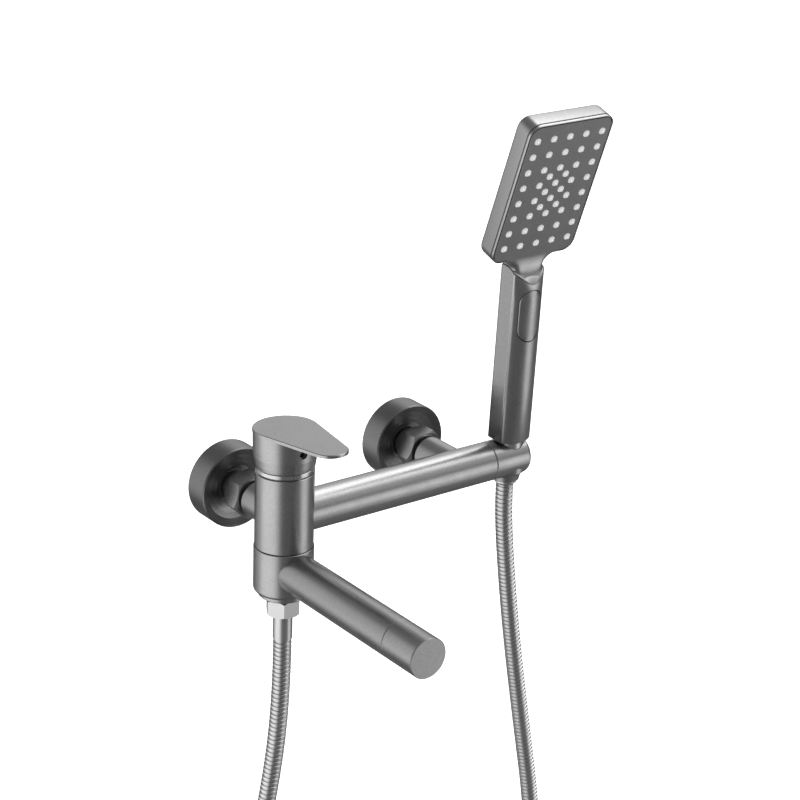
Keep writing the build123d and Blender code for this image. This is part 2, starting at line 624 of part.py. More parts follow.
# ---- holder ----
def shower_holder():
    """Turning end of the bar with a conical socket, open at the back for the hose."""
    barrel = rod_x(-REACH, 0, BAR_END + HOLDER_GAP, HOLDER_END, BAR_R)
    barrel = fillet(barrel.edges().group_by(Axis.X)[-1], HOLDER_FILLET)
    barrel = chamfer(barrel.edges().group_by(Axis.X)[0], EDGE)
    boss = turned([
        (0, -4.0), (BOSS_TOP_R, -4.0), (BOSS_TOP_R, -9.4), (BOSS_R + 2.3, -10.6), (BOSS_R + 1.4, -11.9),
        (BOSS_R + 0.8, -13.3), (BOSS_R + 0.4, -15.0),
        (BOSS_R, BOSS_BOTTOM + 0.5), (BOSS_R - 0.5, BOSS_BOTTOM), (0, BOSS_BOTTOM),
    ])
    boss = socket_place(boss)
    limit = Pos((BAR_END + HOLDER_GAP + HOLDER_END) / 2, -REACH, 0)
    boss = boss & limit * Box(HOLDER_END - BAR_END - HOLDER_GAP - 0.6, 60, 60)
    half_top = CONE_TOP_R + SOCKET_CLEARANCE
    half_low = CONE_BOTTOM_R + SOCKET_CLEARANCE
    socket = turned([
        (0, CONE_BOTTOM - 1), (half_low, CONE_BOTTOM - 1), (half_low, CONE_BOTTOM + 1.6),
        (half_top, CONE_TOP - 4.0), (half_top, CONE_TOP + 4), (0, CONE_TOP + 4),
    ])
    slot = Pos(0, 12.0, 0) * Box(SOCKET_SLOT, 24.0, 60.0)
    holder = barrel + boss - socket_place(socket) - socket_place(slot)
    pocket = rod_x(-REACH, 0, BAR_END, PIVOT_PIN_END + 0.4, PIVOT_PIN_R + RUNNING)
    return holder - pocket


# ---- hand shower ----
def bowed_outline(half, flat, crown):
    """Section with flat sides and a bowed front and back."""
    return make_face([
        Line((half, -flat), (half, flat)),
        ThreePointArc((half, flat), (0, crown), (-half, flat)),
        Line((-half, flat), (-half, -flat)),
        ThreePointArc((-half, -flat), (0, -crown), (half, -flat)),
    ])


def handle_outline(inset=0.0):
    half = HANDLE_WIDTH / 2 - inset
    return bowed_outline(half, HANDLE_FLAT / 2 - inset * 0.4, HANDLE_CROWN - inset)


def handle_top():
    """Round top of the handle, lying across it, which the neck is hollowed to fit."""
    return Pos(0, HANDLE_TOP_Y, HANDLE_TOP_Z) * Rot(0, 90, 0) * Cylinder(HANDLE_TOP_R, 2 * HANDLE_WIDTH)


def above_seam():
    """Everything above the round top of the handle."""
    block = Pos(0, 0, HANDLE_TOP_Z + 30) * Box(2 * HANDLE_WIDTH, 4 * HANDLE_CROWN, 60)
    return block - handle_top()


def button_pocket(margin, front, depth):
    """Long oval block let into the front of the handle."""
    oval = SlotOverall(BUTTON_LENGTH + 2 * margin, BUTTON_WIDTH + 2 * margin, rotation=90)
    return Pos(0, -front, BUTTON_Z) * Rot(90, 0, 0) * Pos(0, 0, -depth) * extrude(oval, depth)


def handset_handle():
    handle = Pos(0, 0, HANDLE_BOTTOM) * extrude(handle_outline(), 160.0)
    bore = Pos(0, 0, HANDLE_BOTTOM + 4.0) * extrude(handle_outline(HANDLE_WALL), 160.0)
    handle = handle - bore - post(0, 0, 0, HANDLE_BOTTOM + 5.0, 9.2)
    handle = handle - button_pocket(0.3, HANDLE_CROWN + 1, 8.0)
    return socket_place(handle - above_seam())


def handset_connector():
    """Threaded tail of the handle, which the cone nut screws on to."""
    tail = turned([
        (0, 3.4), (9.2, 3.4), (9.2, HANDLE_BOTTOM + 4.0), (10.6, HANDLE_BOTTOM + 4.0),
        (10.6, HANDLE_BOTTOM + 7.0), (0, HANDLE_BOTTOM + 7.0),
    ])
    tail = tail & Pos(0, 0, 20) * Box(22, 19.6, 60)
    return socket_place(tail - post(0, 0, 0, HANDLE_BOTTOM + 8.0, 5.2))


def handset_pipe():
    """Water pipe inside the handle."""
    pipe = post(0, 0, HANDLE_BOTTOM + 7.0, PIPE_TOP, PIPE_R) - post(0, 0, 0, 160, PIPE_BORE_R)
    return socket_place(Pos(0, PIPE_Y, 0) * pipe)


def pause_button():
    """Long push button in the handle's front, bowed like the handle."""
    button = button_pocket(0.0, HANDLE_CROWN + 0.2, 4.2)
    bow = Pos(0, 0, BUTTON_Z - 40) * extrude(handle_outline(-0.25), 80)
    return socket_place(button & bow)


def button_spring():
    """Coil spring behind the button, as the sleeve that it works in."""
    outer = rod_y(0, BUTTON_Z, 5.4, 9.2, 3.4)
    return socket_place(outer - rod_y(0, BUTTON_Z, 5.0, 12.0, 2.4))


def head_place(shape):
    """Moves a piece from the head's own face to its tilted place on the handle."""
    return socket_place(Pos(0, HEAD_Y, HEAD_Z) * Rot(90 + HEAD_TILT, 0, 0) * shape)


def head_slab(inset, low, high):
    """Rounded rectangle of the head, between two depths behind the face."""
    outline = RectangleRounded(HEAD_WIDTH - 2 * inset, HEAD_LENGTH - 2 * inset, HEAD_CORNER - inset)
    return Pos(0, 0, low) * extrude(outline, high - low)


def head_back():
    """Back shell of the head, joined by the neck to the slanted seam."""
    shell = head_slab(0, -HEAD_THICK, -FACE_THICK - 0.3)
    shell = fillet(shell.edges().group_by(Axis.Z)[0], 3.4)
    shell = shell - head_slab(HEAD_WALL, -HEAD_THICK + HEAD_WALL, 1)
    return head_place(shell) - socket_place(post(0, PIPE_Y, 140, 170, PIPE_BORE_R))


def neck_flare():
    """Hollow-sided web that widens the neck where it meets the head."""
    root = HANDLE_WIDTH / 2
    wide = root + NECK_FLARE_R
    top = -HEAD_LENGTH / 2
    low = top - NECK_FLARE_R
    way = NECK_FLARE_R * math.sqrt(0.5)
    outline = make_face([
        Line((-wide, top), (wide, top)),
        ThreePointArc((wide, top), (wide - way, low + way), (root, low)),
        Line((root, low), (-root, low)),
        ThreePointArc((-root, low), (way - wide, low + way), (-wide, top)),
    ])
    return head_place(Pos(0, 0, -HEAD_THICK + 1.2) * extrude(outline, HEAD_THICK - 2.4))


def neck():
    """Neck from the handle's round top to the lower end of the head."""
    stretch = 1 / math.cos(math.radians(NECK_LOW_SLOPE))
    slanted = bowed_outline(HANDLE_WIDTH / 2, HANDLE_FLAT / 2 * stretch, HANDLE_CROWN * stretch)
    low_middle = NECK_LOW_FRONT + HANDLE_CROWN * math.tan(math.radians(NECK_LOW_SLOPE))
    lower = socket_place(Pos(0, 0, low_middle) * Rot(NECK_LOW_SLOPE, 0, 0) * slanted)
    end = bowed_outline(NECK_TOP_WIDTH / 2, HEAD_THICK / 2 - 1.2, HEAD_THICK / 2 - 0.8)
    upper = head_place(Pos(0, -HEAD_LENGTH / 2, -HEAD_THICK / 2) * Rot(90, 0, 0) * end)
    body = loft([lower, upper]) + neck_flare() - socket_place(handle_top())
    return body - socket_place(Pos(0, PIPE_Y, 0) * post(0, 0, 100, 200, PIPE_BORE_R))


def nozzle_places():
    """Five columns by eight rows, with six more nozzles between them in the middle."""
    places = [((c - 2.0) * NOZZLE_ACROSS, (3.5 - r) * NOZZLE_DOWN) for c in range(5) for r in range(8)]
    for c in (1.5, 2.5):
        for r in (2.5, 3.5, 4.5):
            places.append(((c - 2.0) * NOZZLE_ACROSS, (3.5 - r) * NOZZLE_DOWN))
    return places


def face_plate():
    plate = head_slab(0, -FACE_THICK, 0)
    plate = chamfer(plate.edges().group_by(Axis.Z)[-1], 0.8)
    for u, v in nozzle_places():
        plate = plate - post(u, v, -FACE_THICK - 1, 1, NOZZLE_HOLE_R)
    return head_place(plate)


def nozzle_mat():
    """Silicone mat behind the face, with a nozzle through every hole."""
    mat = head_slab(HEAD_WALL + 0.4, -FACE_THICK - 1.8, -FACE_THICK)
    for u, v in nozzle_places():
        mat = mat + post(u, v, -FACE_THICK - 0.5, 0.8, NOZZLE_R)
        mat = mat - post(u, v, -FACE_THICK - 3, 2, 0.55)
    return head_place(mat)


def spray_chamber():
    """Inner tray that spreads the water behind the mat."""
    tray = head_slab(HEAD_WALL + 0.3, -HEAD_THICK + 3.0, -FACE_THICK - 1.8)
    return head_place(tray - head_slab(HEAD_WALL + 2.3, -HEAD_THICK + 4.6, 1))


def build():
    for side, x in (("hot", COLUMN_X), ("cold", -COLUMN_X)):
        keep("wall_union_" + side, wall_union(x))
        keep("wall_flange_" + side, flange(x))
        keep("union_gasket_" + side, union_gasket(x))
        keep("inlet_strainer_" + side, inlet_strainer(x))
    keep("union_nut_hot", union_nut(COLUMN_X, 16.0))
    keep("union_nut_cold", union_nut(-COLUMN_X, 7.5))
    keep("inlet_arm_hot", inlet_arm(COLUMN_X, post(COLUMN_X, -REACH, -30, 30, COLUMN_R)))
    keep("inlet_arm_cold", inlet_arm(-COLUMN_X, rod_x(-REACH, 0, 0, 150, BAR_R)))
    keep("body_column", column())
    keep("cross_bar", cross_bar())
    keep("bar_end_plug", bar_plug())
    keep("holder_friction_ring", pivot_ring())
    keep("cartridge_housing", cartridge_housing())
    keep("cartridge_nut", cartridge_nut())
    disc_low = CARTRIDGE_BOTTOM + 2.0
    keep("ceramic_disc_fixed", ceramic_disc(disc_low, 0))
    keep("ceramic_disc_turning", ceramic_disc(disc_low + DISC_THICK + 0.05, 60))
    keep("stem_carrier", stem_carrier())
    keep("stem_pin", stem_pin())
    keep("cartridge_stem", stem())
    keep("trim_dome", trim_dome())
    keep("lever_handle", lever_handle())
    keep("lever_ring", lever_ring())
    keep("lever_screw", lever_screw())
    keep("swivel_core", swivel_core())
    keep("core_seal_upper", core_seal(-27.6))
    keep("core_seal_lower", core_seal(-48.4))
    keep("glide_ring", glide_ring())
    keep("spout_collar", spout_collar())
    keep("diverter_sleeve", diverter_sleeve())
    keep("spout_tube", spout_tube())
    keep("spout_joiner", spout_joiner())
    keep("spout_tip", spout_tip())
    keep("spout_cap", spout_cap())
    keep("aerator_housing", aerator_housing())
    keep("aerator_insert", aerator_insert())
    keep("hose_outlet", hose_outlet())
    keep("hose_nut", hose_nut())
    keep("hose_washer", hose_washer())
    keep("hose_ferrule", hose_ferrule())
    keep("hose_tube", hose_tube())
    keep("cone_nut", cone_nut())
    keep("cone_washer", cone_washer())
    keep("shower_holder", shower_holder())
    keep("handset_handle", handset_handle())
    keep("handset_connector", handset_connector())
    keep("handset_pipe", handset_pipe())
    keep("pause_button", pause_button())
    keep("button_spring", button_spring())
    keep("handset_neck", neck())
    keep("head_back", head_back())
    keep("face_plate", face_plate())
    keep("nozzle_mat", nozzle_mat())
    keep("spray_chamber", spray_chamber())


build()
os.makedirs("parts", exist_ok=True)
for name, shape in parts.items():
    export_step(shape, "parts/" + name + ".step")
print("nodes", len(parts))
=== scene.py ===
# %% [markdown]
# # A wall mounted bath mixer with a hand shower
# The solids of this mixer are already made: turned tubes, nuts, discs and the pieces inside. They are
# loaded as a fixed frame, with every piece where it belongs, in metres. These cells add what makes it
# look like the real thing: the ringed hose, the soft edges of the cast and moulded pieces, the rubber
# nozzles and the finishes. Nothing here moves or resizes a loaded piece.

# %% Load the fixed frame
import json
import math

import bmesh
import bpy
from mathutils import Matrix, Vector


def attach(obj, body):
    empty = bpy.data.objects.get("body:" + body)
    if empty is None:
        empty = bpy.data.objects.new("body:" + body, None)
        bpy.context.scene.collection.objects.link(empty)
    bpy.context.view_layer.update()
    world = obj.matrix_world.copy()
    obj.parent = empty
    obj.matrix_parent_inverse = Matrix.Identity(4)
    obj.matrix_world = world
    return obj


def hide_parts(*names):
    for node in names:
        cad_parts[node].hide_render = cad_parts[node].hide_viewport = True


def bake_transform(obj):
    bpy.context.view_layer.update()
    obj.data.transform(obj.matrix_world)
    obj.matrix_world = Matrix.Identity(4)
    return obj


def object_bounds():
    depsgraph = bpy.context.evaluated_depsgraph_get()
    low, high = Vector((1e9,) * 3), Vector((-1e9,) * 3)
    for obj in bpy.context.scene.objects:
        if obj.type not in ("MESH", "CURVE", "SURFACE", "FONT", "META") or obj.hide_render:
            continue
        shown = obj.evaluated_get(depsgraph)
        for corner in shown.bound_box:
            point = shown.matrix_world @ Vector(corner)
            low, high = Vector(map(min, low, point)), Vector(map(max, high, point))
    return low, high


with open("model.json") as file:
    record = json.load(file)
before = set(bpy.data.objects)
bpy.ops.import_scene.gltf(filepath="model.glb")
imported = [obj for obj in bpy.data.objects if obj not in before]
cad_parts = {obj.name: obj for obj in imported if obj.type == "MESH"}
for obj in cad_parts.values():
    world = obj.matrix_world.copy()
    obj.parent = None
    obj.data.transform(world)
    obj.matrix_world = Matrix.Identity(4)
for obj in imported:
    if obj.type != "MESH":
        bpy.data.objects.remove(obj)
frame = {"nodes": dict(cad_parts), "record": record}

cad_box = [list(corner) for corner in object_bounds()]
MM = 0.001
scene = bpy.context.scene
scene.view_settings.view_transform = "Standard"

# %% [markdown]
# ## The camera
# A long lens from the front left and a little above shows the lever, the bar and the spout at once,
# with almost parallel edges. The camera is built from the direction it stands in, its distance from a
# point it looks at, and a slight roll. Its three axes go straight into its matrix, which is easier to
# check than three angles.

# %% The camera
LOOK_AT = Vector((0.0175, -0.080, 0.067))
CAMERA_TURN = math.radians(37.49)
CAMERA_RISE = math.radians(21.52)
CAMERA_ROLL = math.radians(1.97)
CAMERA_AWAY = 1.6053
LENS_MM = 104.4
SENSOR_MM = 36.0
CLIP_END = 20.0


def make_camera():
    back = Vector((-math.sin(CAMERA_TURN) * math.cos(CAMERA_RISE),
                   -math.cos(CAMERA_TURN) * math.cos(CAMERA_RISE), math.sin(CAMERA_RISE)))
    level = Vector((math.cos(CAMERA_TURN), -math.sin(CAMERA_TURN), 0.0))
    up = back.cross(level)
    right = level * math.cos(CAMERA_ROLL) + up * math.sin(CAMERA_ROLL)
    up = back.cross(right)
    camera = bpy.data.objects.new("camera", bpy.data.cameras.new("camera"))
    scene.collection.objects.link(camera)
    place = Matrix((right, up, back)).transposed().to_4x4()
    place.translation = LOOK_AT + back * CAMERA_AWAY
    camera.matrix_world = place
    camera.data.lens = LENS_MM
    camera.data.sensor_width = SENSOR_MM
    camera.data.clip_end = CLIP_END
    scene.camera = camera
    return camera


camera = make_camera()
print("camera stands", round((camera.location - LOOK_AT).length, 3), "m away")

# %% [markdown]
# ## Small helpers for finishes
# Most pieces share one satin metal finish: a grey plated coat that was blasted first, so it has a very
# fine grain. The grain is a noise pattern in Object coordinates. Every finished piece sits at the
# origin, so Object coordinates are real metres, and a noise scale of 1 / grain gives grains of that
# size. The same noise drives a little colour, a little roughness and a shallow bump.

# %% Node helpers
def new_material(name):
    material = bpy.data.materials.new(name)
    material.use_nodes = True
    nodes, links = material.node_tree.nodes, material.node_tree.links
    shader = nodes["Principled BSDF"]
    return material, nodes, links, shader


def object_noise(nodes, links, size, detail=3.0, stretch=(1, 1, 1)):
    """Noise whose grains are about `size` metres across on the piece itself."""
    coordinates = nodes.new("ShaderNodeTexCoord")
    mapping = nodes.new("ShaderNodeMapping")
    mapping.inputs["Scale"].default_value = stretch
    noise = nodes.new("ShaderNodeTexNoise")
    noise.inputs["Scale"].default_value = 1.0 / size
    noise.inputs["Detail"].default_value = detail
    links.new(coordinates.outputs["Object"], mapping.inputs["Vector"])
    links.new(mapping.outputs["Vector"], noise.inputs["Vector"])
    return noise.outputs["Fac"]


def spread(nodes, links, value, low, high):
    """Maps a pattern that lies around the middle to the range low to high."""
    remap = nodes.new("ShaderNodeMapRange")
    remap.inputs["From Min"].default_value = 0.3
    remap.inputs["From Max"].default_value = 0.7
    remap.inputs["To Min"].default_value = low
    remap.inputs["To Max"].default_value = high
    links.new(value, remap.inputs["Value"])
    return remap.outputs["Result"]


def tint(nodes, links, value, dark, light):
    """Mixes two greys or colours by a pattern."""
    mix = nodes.new("ShaderNodeMix")
    mix.data_type = "RGBA"
    mix.inputs["A"].default_value = (*dark, 1.0)
    mix.inputs["B"].default_value = (*light, 1.0)
    links.new(value, mix.inputs["Factor"])
    return mix.outputs["Result"]


def bump(nodes, links, shader, value, height, strength=1.0):
    relief = nodes.new("ShaderNodeBump")
    relief.inputs["Distance"].default_value = height
    relief.inputs["Strength"].default_value = strength
    links.new(value, relief.inputs["Height"])
    links.new(relief.outputs["Normal"], shader.inputs["Normal"])


def grained_metal(name, dark, light, rough, grain=0.35 * MM, height=0.012 * MM, metallic=1.0):
    """Plated or bare metal with an even grain."""
    material, nodes, links, shader = new_material(name)
    fine = object_noise(nodes, links, grain)
    broad = object_noise(nodes, links, 18 * MM, detail=2.0)
    amount = spread(nodes, links, fine, 0.0, 1.0)
    links.new(tint(nodes, links, amount, dark, light), shader.inputs["Base Color"])
    links.new(spread(nodes, links, broad, rough[0], rough[1]), shader.inputs["Roughness"])
    shader.inputs["Metallic"].default_value = metallic
    bump(nodes, links, shader, fine, height)
    return material


def moulded(name, dark, light, rough, grain=0.6 * MM, height=0.01 * MM):
    """Plastic or rubber, with a fine moulded grain."""
    material, nodes, links, shader = new_material(name)
    fine = object_noise(nodes, links, grain)
    amount = spread(nodes, links, fine, 0.0, 1.0)
    links.new(tint(nodes, links, amount, dark, light), shader.inputs["Base Color"])
    links.new(spread(nodes, links, fine, rough[0], rough[1]), shader.inputs["Roughness"])
    bump(nodes, links, shader, fine, height)
    return material


def grey(value):
    return (value, value, value * 1.01)


# %% The finishes
SATIN_GRAIN, SATIN_HEIGHT = 0.8 * MM, 0.008 * MM
# How brightly the white nozzles glow: painted light, the nozzles are no lamp.
NOZZLE_PAINTED_GLOW = 0.3
GUNMETAL = grained_metal("satin_gunmetal", grey(0.31), grey(0.40), (0.27, 0.34),
                         grain=SATIN_GRAIN, height=SATIN_HEIGHT)
# A darker copy of the same satin for the wall flanges: painted shade, standing in for the darker light near
# the wall.
FLANGE_PAINTED_SHADE = grained_metal("flange_satin_painted_shade", grey(0.18), grey(0.24), (0.29, 0.36),
                              grain=SATIN_GRAIN, height=SATIN_HEIGHT)
TRIM = grained_metal("polished_trim", grey(0.45), grey(0.52), (0.14, 0.2), height=0.002 * MM)
STEEL = grained_metal("hose_steel", grey(0.48), grey(0.54), (0.28, 0.34), grain=0.5 * MM, height=0.001 * MM)
PLAIN_STEEL = grained_metal("plain_steel", grey(0.45), grey(0.55), (0.25, 0.35))
BRASS = grained_metal("turned_brass", (0.62, 0.43, 0.18), (0.74, 0.54, 0.26), (0.25, 0.38))
FACE = moulded("face_grey", grey(0.085), grey(0.105), (0.34, 0.42))
NOZZLE = moulded("nozzle_silicone", grey(0.84), grey(0.9), (0.4, 0.55))
# The nozzles get a faint glow of their own: painted brightness on the white silicone.
nozzle_shader = NOZZLE.node_tree.nodes["Principled BSDF"]
nozzle_shader.inputs["Emission Color"].default_value = (1, 1, 1, 1)
nozzle_shader.inputs["Emission Strength"].default_value = NOZZLE_PAINTED_GLOW
RUBBER = moulded("black_rubber", grey(0.02), grey(0.03), (0.55, 0.7))
PLASTIC = moulded("inner_plastic", grey(0.7), grey(0.78), (0.4, 0.5))
CERAMIC = moulded("ceramic", (0.82, 0.79, 0.73), (0.88, 0.86, 0.8), (0.12, 0.2))
print("finishes:", len(bpy.data.materials))

# %% [markdown]
# ## The hose
# A shower hose is a fixed length of something springy. Its two ends point straight down, out of the
# nut under the column and out of the shower holder, so it hangs in one wide loop that bulges past both
# ends. The route is a short list of given places, and a NURBS spline through their corners
# gives one smooth line. The rings are too many to draw, so Geometry Nodes make them: the line is cut
# into short even steps, the last two of every six are a little thinner, and a circle is swept along.

# %% The hose's line
REACH = 75.5
SOCKET_TILT = math.radians(2.5)
HOSE_DIAMETER = 13.0 * MM
ROUTE_XZ = [
    (-75.0, -92.0), (-75.0, -132.0), (-81.0, -195.0), (-99.0, -280.0), (-117.0, -370.0),
    (-108.0, -452.0), (-66.0, -510.0), (-2.0, -538.0), (66.0, -531.0), (125.0, -495.0),
    (162.0, -435.0), (171.0, -365.0), (163.0, -298.0), (150.5, -235.0), (137.2, -165.0),
    (127.5, -105.0), (121.0, -42.0), (121.0, -21.0),
]


def hose_points():
    """The route in metres; its last run leans with the holder's socket."""
    points = [Vector((x, -REACH, z)) for x, z in ROUTE_XZ]
    for index in (-2, -1):
        x, z = ROUTE_XZ[index]
        points[index] = Vector((x, -REACH - z * math.sin(SOCKET_TILT), z * math.cos(SOCKET_TILT)))
    return [point * MM for point in points]


def hose_line():
    data = bpy.data.curves.new("hose_line", "CURVE")
    data.dimensions = "3D"
    spline = data.splines.new("NURBS")
    points = hose_points()
    spline.points.add(len(points) - 1)
    for slot_point, place in zip(spline.points, points):
        slot_point.co = (*place, 1.0)
    spline.order_u = 3
    spline.use_endpoint_u = True
    spline.resolution_u = 16
    line = bpy.data.objects.new("hose_line", data)
    scene.collection.objects.link(line)
    return line


def to_mesh(thing, name):
    """The evaluated shape of an object, as a plain mesh object of its own."""
    bpy.context.view_layer.update()
    shown = thing.evaluated_get(bpy.context.evaluated_depsgraph_get())
    data = bpy.data.meshes.new_from_object(shown)
    data.name = name
    made = bpy.data.objects.new(name, data)
    scene.collection.objects.link(made)
    return made


hose_curve = hose_line()
line_copy = to_mesh(hose_curve, "hose_line_points")
hose_path = [vertex.co.copy() for vertex in line_copy.data.vertices]
bpy.data.objects.remove(line_copy)
path_length = sum((b - a).length for a, b in zip(hose_path, hose_path[1:]))
print("hose line:", round(path_length, 4), "m over", len(hose_path), "points")

# %% The hose's rings, by Geometry Nodes
RING_PITCH = 3.3 * MM
RING_STEPS = 6
GROOVE_DEPTH = 0.85 * MM


def socket_input(tree, name, kind, value=None):
    made = tree.interface.new_socket(name=name, in_out="INPUT", socket_type=kind)
    if value is not None:
        made.default_value = value
    return made


def math_node(tree, operation, first, second):
    """A Math node; first and second are numbers or outputs."""
    node = tree.nodes.new("ShaderNodeMath")
    node.operation = operation
    for socket, value in zip(node.inputs, (first, second)):
        if isinstance(value, (int, float)):
            socket.default_value = value
        else:
            tree.links.new(value, socket)
    return node.outputs[0]


def finish_tree(tree, geometry, material):
    """Every tree ends the same way: real geometry, and a finish on it."""
    realize = tree.nodes.new("GeometryNodeRealizeInstances")
    paint = tree.nodes.new("GeometryNodeSetMaterial")
    paint.inputs["Material"].default_value = material
    out = tree.nodes.new("NodeGroupOutput")
    tree.links.new(geometry, realize.inputs["Geometry"])
    tree.links.new(realize.outputs["Geometry"], paint.inputs["Geometry"])
    tree.links.new(paint.outputs["Geometry"], out.inputs["Geometry"])


def ringed_tube_tree(material):
    """Sweeps a circle along a curve, thinner at the groove between two rings."""
    tree = bpy.data.node_groups.new("ringed_tube", "GeometryNodeTree")
    tree.interface.new_socket(name="Geometry", in_out="INPUT", socket_type="NodeSocketGeometry")
    tree.interface.new_socket(name="Geometry", in_out="OUTPUT", socket_type="NodeSocketGeometry")
    socket_input(tree, "Radius", "NodeSocketFloat", HOSE_DIAMETER / 2)
    socket_input(tree, "Groove Depth", "NodeSocketFloat", GROOVE_DEPTH)
    socket_input(tree, "Step Length", "NodeSocketFloat", RING_PITCH / RING_STEPS)
    socket_input(tree, "Sides", "NodeSocketInt", 26)
    given = tree.nodes.new("NodeGroupInput").outputs
    resample = tree.nodes.new("GeometryNodeResampleCurve")
    resample.mode = "LENGTH"
    tree.links.new(given["Geometry"], resample.inputs["Curve"])
    tree.links.new(given["Step Length"], resample.inputs["Length"])
    place = math_node(tree, "MODULO", tree.nodes.new("GeometryNodeInputIndex").outputs[0], RING_STEPS)
    in_groove = math_node(tree, "GREATER_THAN", place, RING_STEPS - 2.5)
    cut = math_node(tree, "MULTIPLY", in_groove, given["Groove Depth"])
    radius = math_node(tree, "SUBTRACT", given["Radius"], cut)
    set_radius = tree.nodes.new("GeometryNodeSetCurveRadius")
    tree.links.new(resample.outputs["Curve"], set_radius.inputs["Curve"])
    tree.links.new(radius, set_radius.inputs["Radius"])
    circle = tree.nodes.new("GeometryNodeCurvePrimitiveCircle")
    circle.inputs["Radius"].default_value = 1.0
    tree.links.new(given["Sides"], circle.inputs["Resolution"])
    sweep = tree.nodes.new("GeometryNodeCurveToMesh")
    sweep.inputs["Fill Caps"].default_value = True
    if "Scale" in sweep.inputs:
        read_radius = tree.nodes.new("GeometryNodeInputRadius")
        tree.links.new(read_radius.outputs[0], sweep.inputs["Scale"])
    tree.links.new(set_radius.outputs["Curve"], sweep.inputs["Curve"])
    tree.links.new(circle.outputs["Curve"], sweep.inputs["Profile Curve"])
    finish_tree(tree, sweep.outputs["Mesh"], material)
    return tree


def with_tree(thing, tree, name, **values):
    """Runs a tree on an object and keeps the result as a plain mesh."""
    modifier = thing.modifiers.new("made_by_nodes", "NODES")
    modifier.node_group = tree
    for item in tree.interface.items_tree:
        if item.in_out == "INPUT" and item.name in values:
            modifier[item.identifier] = values[item.name]
    made = to_mesh(thing, name)
    thing.modifiers.remove(modifier)
    return made


def smooth(thing, angle=35.0):
    """Smooth shading, with edges sharper than the angle left crisp."""
    thing.data.shade_smooth()
    thing.data.set_sharp_from_angle(angle=math.radians(angle))
    return thing


def outward(thing):
    """Merges doubled points and turns every face outwards."""
    work = bmesh.new()
    work.from_mesh(thing.data)
    bmesh.ops.remove_doubles(work, verts=work.verts, dist=1e-6)
    bmesh.ops.recalc_face_normals(work, faces=work.faces)
    work.to_mesh(thing.data)
    work.free()
    return thing


hose_tree = ringed_tube_tree(STEEL)
hose = smooth(outward(with_tree(hose_curve, hose_tree, "shower_hose")))
bpy.data.objects.remove(hose_curve)
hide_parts("hose_tube")
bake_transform(hose)
print("hose faces:", len(hose.data.polygons))

# %% [markdown]
# ## The hand shower
# The head and the handle are plated plastic shells. Sharp edges never survive moulding and plating,
# so each shell gets small rounded edges, which also catch the light as thin bright lines. Everything
# is built in the hand shower's own frame: x across, -y to the front, z up along the handle. A matrix
# then places it in the holder, which leans forward a little; the head has a second frame of its own,
# u across, v up the face and w out of the face.

# %% Frames and a way to skin loops
SOCKET = Matrix.Translation(Vector((121.0, -REACH, 0.0)) * MM) @ Matrix.Rotation(SOCKET_TILT, 4, "X")
HEAD_TILT = math.radians(16.95)
HEAD_IN_SOCKET = (Matrix.Translation(Vector((0.0, -24.3, 210.7)) * MM)
                  @ Matrix.Rotation(math.radians(90) + HEAD_TILT, 4, "X"))
HEAD = SOCKET @ HEAD_IN_SOCKET
HEAD_WIDTH, HEAD_LENGTH, HEAD_CORNER, HEAD_THICK = 74.0, 113.0, 9.0, 16.5
HALF_WIDTH, SIDE_FLAT, CROWN = 13.5, 7.5, 13.3


def skinned(name, loops, place):
    """Closed mesh through loops of equal count, given in mm; place is the matrix that seats it."""
    count = len(loops[0])
    points = [point * MM for loop in loops for point in loop]
    faces = []
    for row in range(len(loops) - 1):
        for col in range(count):
            after = (col + 1) % count
            faces.append((row * count + col, row * count + after,
                          (row + 1) * count + after, (row + 1) * count + col))
    faces.append(tuple(range(count)))
    faces.append(tuple(range((len(loops) - 1) * count, len(loops) * count)))
    data = bpy.data.meshes.new(name)
    data.from_pydata(points, [], faces)
    made = bpy.data.objects.new(name, data)
    scene.collection.objects.link(made)
    data.transform(place)
    return smooth(outward(made))


def rounded_rectangle(width, length, corner, steps=8):
    """Outline in u and v, anticlockwise from the middle of the right side."""
    outline = []
    for turn, (side, end) in enumerate(((1, 1), (-1, 1), (-1, -1), (1, -1))):
        centre = Vector((side * (width / 2 - corner), end * (length / 2 - corner)))
        for step in range(steps + 1):
            angle = math.radians(90 * turn + 90 * step / steps)
            outline.append(centre + corner * Vector((math.cos(angle), math.sin(angle))))
    return outline


def cut_away(thing, tool):
    """Takes the tool's volume out of a mesh, and removes the tool."""
    modifier = thing.modifiers.new("cut", "BOOLEAN")
    modifier.operation = "DIFFERENCE"
    modifier.solver = "EXACT"
    modifier.object = tool
    cut = to_mesh(thing, thing.name + "_cut")
    thing.modifiers.remove(modifier)
    old = thing.data
    thing.data = cut.data
    bpy.data.objects.remove(cut)
    bpy.data.meshes.remove(old)
    bpy.data.objects.remove(tool)
    return smooth(outward(thing))


# %% [markdown]
# The back shell is one deep tray. Its side ends in a fine groove and a narrow rib round the face: two
# parts of a moulding are never exactly flush, so makers put a groove there to hide the step.

# %% The head's shell
SHELL_PROFILE = [
    (-HEAD_THICK, 9.0), (-HEAD_THICK, 3.6), (-16.2, 2.2), (-15.5, 1.1), (-14.4, 0.35), (-13.0, 0.0),
    (-3.1, 0.0), (-2.8, 0.3), (-2.8, 1.0), (-2.1, 1.0), (-2.1, 0.3), (-1.8, 0.0), (-0.5, 0.0),
    (-0.15, 0.15), (0.0, 0.45), (0.0, 0.6), (-0.3, 0.8), (-1.2, 0.8),
]


def shell_loop(depth, inset):
    outline = rounded_rectangle(HEAD_WIDTH - 2 * inset, HEAD_LENGTH - 2 * inset,
                                max(HEAD_CORNER - inset, 1.0))
    return [Vector((u, v, depth)) for u, v in outline]


head_shell = skinned("hand_shower_shell", [shell_loop(*pair) for pair in SHELL_PROFILE], HEAD)
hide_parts("head_back")
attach(head_shell, "handset")
head_shell.data.materials.append(GUNMETAL)
print("shell faces:", len(head_shell.data.polygons))

